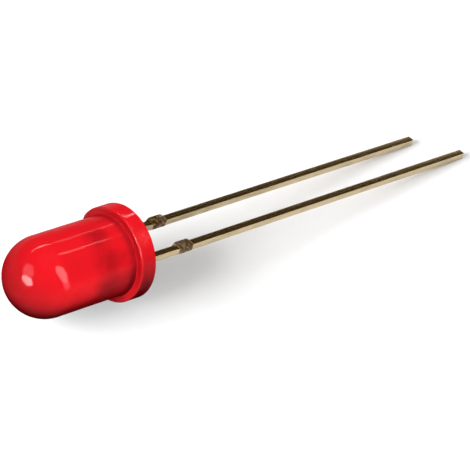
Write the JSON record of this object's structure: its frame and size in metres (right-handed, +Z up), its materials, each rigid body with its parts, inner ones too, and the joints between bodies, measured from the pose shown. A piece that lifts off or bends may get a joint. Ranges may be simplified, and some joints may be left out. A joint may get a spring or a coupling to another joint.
{
  "type": "through hole led",
  "caption": "Through-hole indicator LED: red diffused round lens with domed end and flange, on a pair of long square stamped leads, the cathode's lead shorter.",
  "frame": {"origin": "on the table under the middle of the LED's bounding box, as it lies on its flange's rear rim and on both lead tips", "axes": "+X along the table from the dome toward the lead tips, +Y toward the cathode's side, +Z up from the table"},
  "size_m": [0.038, 0.0058, 0.006],
  "materials": {
    "lens_epoxy": "gloss",
    "lead_metal": "satin",
    "chip": "satin",
    "silver_adhesive": "matte",
    "gold_wire": "polished"
  },
  "bodies": {
    "root": {"lens": "lens_epoxy", "cathode_lead": "lead_metal", "anode_lead": "lead_metal", "led_die": "chip", "die_attach": "silver_adhesive", "bond_wire": "gold_wire"}
  },
  "joints": []
}
